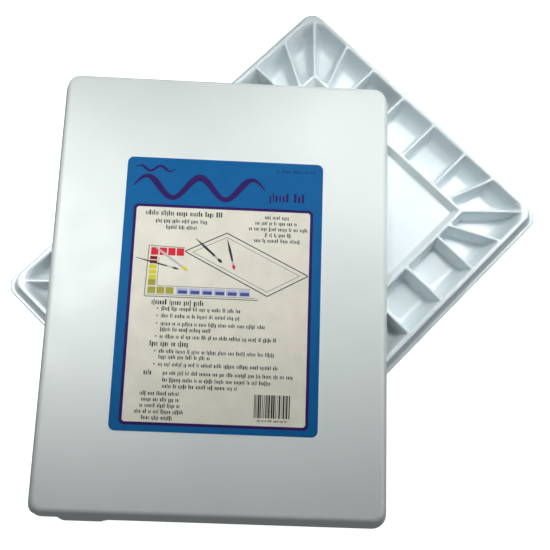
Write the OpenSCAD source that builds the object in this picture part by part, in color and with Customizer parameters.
// Mixing palette: a moulded tray with a mixing area inside a ring of paint
// wells, and a loose lid with a paper label, laid askew on the tray's rim.
// Origin at the centre of the tray's foot, on the surface it stands on.
// +Z up, X along the tray's width, Y along its length.

/* [Tray] */
// Width of the tray over its flange
tray_w = 305; // [295:5:320]
// Length of the tray over its flange
tray_l = 405; // [395:5:420]
// Height of the tray from the surface to its rim
tray_h = 19; // [17:1:22]
// Corner radius of the tray's flange
tray_corner_r = 12; // [10:1:14]
// Thickness of the moulded plastic
wall = 2; // [1.5:0.25:2.5]
// Width of the flange around the tray's foot
flange_w = 3.5; // [3:0.5:4]
// How far the outer wall leans in from the flange to the rim
wall_lean = 4; // [3:0.5:4.5]
// Radius of the rounding along the rim's outer edge
rim_edge = 1.5; // [1:0.5:2]

/* [Mixing area] */
// Distance from the tray's outer edge to the crest of the ridge
ridge_inset = 56; // [54:1:58]
// Depth of the mixing area below the rim
mixing_depth = 5; // [4:1:6]
// Run of the slope from the ridge down to the mixing area
mixing_slope = 5.5; // [4.5:0.5:7]

/* [Wells] */
// Distance from the tray's outer edge to the outer edge of the wells
well_margin = 12.5; // [12:0.5:13.5]
// Thickness of the ridge and the dividers at their crests
crest_w = 2.4; // [2:0.2:3]
// Run of the outer wall of each well, from its top edge to its floor
outer_slope = 7.5; // [6:0.5:8.5]
// Run of the divider and ridge walls, from crest to floor
divider_slope = 2.7; // [2:0.1:3]
// How far each corner of the ring of wells is cut back
corner_cut = 15; // [13:1:16]
// Offsets of the straight dividers on each short side from its middle
short_dividers = [20, 60.5];
// Offsets of the straight dividers on each long side from its middle
long_dividers = [26, 69.5, 112];
// Short side's fanned divider: its offsets at the ridge and at the rim
short_fan = [79.5, 95.5];
// Long side's fanned divider: its offsets at the ridge and at the rim
long_fan = [127, 150];

/* [Lid] */
// Width of the lid over its skirt
lid_w = 307; // [297:5:322]
// Length of the lid over its skirt
lid_l = 407; // [397:5:422]
// Height of the lid, skirt and top plate together
lid_h = 19; // [18:1:22]
// Corner radius of the lid's skirt at its lower edge
lid_corner_r = 13; // [12:1:15]
// How far the skirt leans in from its lower edge to the shoulder
skirt_lean = 4; // [3:0.5:4.5]
// Radius of the rounded shoulder between skirt and top plate
shoulder_r = 4.5; // [3.5:0.5:5]
// Length of the thumb tab on the skirt's lower edge
tab_l = 42; // [30:1:50]
// How far the thumb tab stands out
tab_out = 1.5; // [1:0.5:2]
// Distance of the thumb tab's middle from the lid's centre line
tab_x = -106; // [-115:1:-80]

/* [Lid's place on the tray] */
// Turn of the lid about the vertical
lid_turn = 43; // [0:1:60]
// Place of the lid's centre along X
lid_x = -7; // [-20:1:20]
// Place of the lid's centre along Y
lid_y = -70; // [-80:1:-40]

/* [Label] */
// Width of the label
label_w = 180; // [150:5:200]
// Length of the label
label_l = 250; // [220:5:270]
// Corner radius of the label
label_r = 6; // [3:1:10]
// Place of the label's centre on the lid, across the lid's width
label_x = 1.5; // [-5:0.5:5]
// Place of the label's centre on the lid, along the lid's length
label_y = -5; // [-10:1:10]

/* [Hidden] */

arc_steps = 6;          // facets in each rounded corner
tab_h = 7;              // height of the thumb tab
lid_gap = 0.2;          // clearance under the skirt where it lies on the rim
label_t = 0.3;          // paper and adhesive together
past = 1;               // how far a cut runs past the face that it opens

well_floor = wall;
mixing_floor = tray_h - mixing_depth;
well_depth = tray_h - well_floor;
ridge_x = tray_w / 2 - ridge_inset;
ridge_y = tray_l / 2 - ridge_inset;
outer_x = tray_w / 2 - well_margin;
outer_y = tray_l / 2 - well_margin;
lid_z = tray_h + lid_gap;

// Rings of points, anticlockwise seen from above

function rounded_ring(w, l, r) = [
    for (q = [0:3], s = [0:arc_steps])
        let (
            a = 90 * (q - 1 + s / arc_steps),
            x = (q < 2 ? 1 : -1) * (w / 2 - r),
            y = (q == 1 || q == 2 ? 1 : -1) * (l / 2 - r)
        )
        [x + r * cos(a), y + r * sin(a)]
];

// The tray's or lid's outline, moved in by the same distance all round
function tray_ring(inset, r) =
    rounded_ring(tray_w - 2 * inset, tray_l - 2 * inset, r);

function lid_ring(inset) = rounded_ring(
    lid_w - 2 * inset, lid_l - 2 * inset, lid_corner_r - inset / 2
);

// A line as [normal, distance], moved to the left of p-q by gap
function shifted_line(p, q, gap) =
    let (t = (q - p) / norm(q - p), n = [-t.y, t.x]) [n, n * p + gap];

function crossing(a, b) =
    let (d = cross(a[0], b[0]))
    [a[1] * b[0].y - b[1] * a[0].y, a[0].x * b[1] - b[0].x * a[1]] / d;

// A convex outline with each edge moved in by its own gap
function inset_outline(points, gaps) =
    let (
        n = len(points),
        lines = [
            for (i = [0:n - 1])
                shifted_line(points[i], points[(i + 1) % n], gaps[i])
        ]
    )
    [for (i = [0:n - 1]) crossing(lines[(i + n - 1) % n], lines[i])];

// Closed solid through levels of [height, ring], from the lowest up
module loft(levels) {
    n = len(levels[0][1]);
    top = len(levels) - 1;
    points = [for (level = levels, p = level[1]) [p.x, p.y, level[0]]];
    bottom_face = [for (i = [0:n - 1]) i];
    top_face = [for (i = [n - 1:-1:0]) top * n + i];
    sides = [
        for (k = [0:top - 1], i = [0:n - 1])
            let (a = k * n + i, b = k * n + (i + 1) % n)
            [a, a + n, b + n, b]
    ];
    polyhedron(points, concat([bottom_face], sides, [top_face]));
}

// One well. Each edge of its outline is of a kind: "crest" for a divider or
// the ridge, "outer" for the wall under the rim.
module well(points, kinds) {
    crest = [for (k = kinds) k == "crest" ? crest_w / 2 : 0];
    slope = [for (k = kinds) k == "crest" ? divider_slope : outer_slope];
    over = past / well_depth;
    loft([
        [well_floor, inset_outline(points, crest + slope)],
        [tray_h + past, inset_outline(points, crest - slope * over)]
    ]);
}

// Wells of one side, laid out with the ridge and rim parallel to X, between
// pairs of stations [at the ridge, at the rim]
module straight_wells(stations, ridge, rim) {
    for (i = [0:len(stations) - 2]) {
        a = stations[i];
        b = stations[i + 1];
        well(
            [[a[0], ridge], [b[0], ridge], [b[1], rim], [a[1], rim]],
            ["crest", "crest", "outer", "crest"]
        );
    }
}

// The well between a side's fanned divider and the corner's diagonal one
module corner_well(fan, ridge_end, ridge, rim_end, rim) {
    well(
        [
            [fan[0], ridge], [ridge_end, ridge],
            [rim_end - corner_cut / 2, rim - corner_cut / 2],
            [rim_end - corner_cut, rim], [fan[1], rim]
        ],
        ["crest", "crest", "outer", "outer", "crest"]
    );
}

// Wells of one whole side whose middle lies on the Y axis
module side_wells(dividers, fan, ridge_end, ridge, rim_end, rim) {
    half = concat([for (d = dividers) [d, d]], [fan]);
    straight_wells([-half[0], half[0]], ridge, rim);
    for (m = [0, 1]) mirror([m, 0, 0]) {
        straight_wells(half, ridge, rim);
        corner_well(fan, ridge_end, ridge, rim_end, rim);
    }
}

module wells() {
    for (m = [0, 1]) {
        mirror([0, m, 0])
            side_wells(
                short_dividers, short_fan, ridge_x, ridge_y, outer_x, outer_y
            );
        mirror([m, 0, 0]) mirror([1, -1, 0])
            side_wells(
                long_dividers, long_fan, ridge_y, ridge_x, outer_y, outer_x
            );
    }
}

module tray_body() {
    rim_in = flange_w + wall_lean;
    loft([
        [0, tray_ring(0, tray_corner_r)],
        [wall, tray_ring(0, tray_corner_r)],
        [wall, tray_ring(flange_w, tray_corner_r - flange_w / 2)],
        [tray_h - rim_edge, tray_ring(rim_in - rim_edge / 2, tray_corner_r - 2)],
        [tray_h, tray_ring(rim_in + rim_edge / 2, tray_corner_r - 2)]
    ]);
}

module mixing_area() {
    over = past * mixing_slope / mixing_depth;
    top_in = ridge_inset + crest_w / 2;
    loft([
        [mixing_floor, tray_ring(top_in + mixing_slope, 2)],
        [tray_h + past, tray_ring(top_in - over, 2)]
    ]);
}

// Space under the mixing area, open below
module middle_hollow() {
    foot_in = ridge_inset - crest_w / 2 - divider_slope + wall;
    loft([
        [-past, tray_ring(foot_in, 4)],
        [mixing_floor - wall, tray_ring(foot_in + wall, 4)]
    ]);
}

// Space between the outer wall and the backs of the wells, open below
module edge_hollow() {
    roof = tray_h - 2 * wall;
    wall_in = flange_w + wall;
    wells_in = well_margin + outer_slope - wall;
    difference() {
        loft([
            [-past, tray_ring(wall_in, tray_corner_r - 3)],
            [roof, tray_ring(wall_in + wall_lean - 1, tray_corner_r - 3)]
        ]);
        loft([
            [-2 * past, tray_ring(wells_in, corner_cut)],
            [roof + past, tray_ring(well_margin - wall / 2, corner_cut)]
        ]);
    }
}

module tray() {
    color("aliceblue")
        difference() {
            tray_body();
            mixing_area();
            wells();
            middle_hollow();
            edge_hollow();
        }
}

// Levels of the lid's shell moved in by inset, from the height foot up
function shell_levels(inset, foot) =
    let (
        plate = lid_h - inset,
        spring = lid_h - shoulder_r,
        bend = shoulder_r - inset
    )
    concat(
        [[foot, lid_ring(inset)]],
        [
            for (a = [0:30:90])
                [
                    plate - bend * (1 - sin(a)),
                    lid_ring(inset + skirt_lean + bend * (1 - cos(a)))
                ]
        ]
    );

module thumb_tab() {
    side = tab_out + skirt_lean;
    low = [
        [-tab_l / 2, 0], [-tab_l / 2 + side, -tab_out],
        [tab_l / 2 - side, -tab_out], [tab_l / 2, 0],
        [tab_l / 2, wall / 2], [-tab_l / 2, wall / 2]
    ];
    high = [for (p = low) [p.x, max(p.y, 0) + wall / 2]];
    translate([tab_x, -lid_l / 2, 0]) loft([[0, low], [tab_h, high]]);
}

module on_lid() {
    translate([lid_x, lid_y, lid_z]) rotate(lid_turn) children();
}

module lid() {
    color("whitesmoke") on_lid() difference() {
        union() {
            loft(shell_levels(0, 0));
            thumb_tab();
        }
        loft(shell_levels(wall, -past));
    }
}

module label() {
    color("steelblue") on_lid()
        translate([label_x, label_y, lid_h])
            linear_extrude(label_t) {
                square([label_w, label_l - 2 * label_r], center = true);
                square([label_w - 2 * label_r, label_l], center = true);
                for (x = [-1, 1], y = [-1, 1])
                    translate([
                        x * (label_w / 2 - label_r), y * (label_l / 2 - label_r)
                    ])
                        circle(label_r, $fn = 48);
            }
}

tray();
lid();
label();
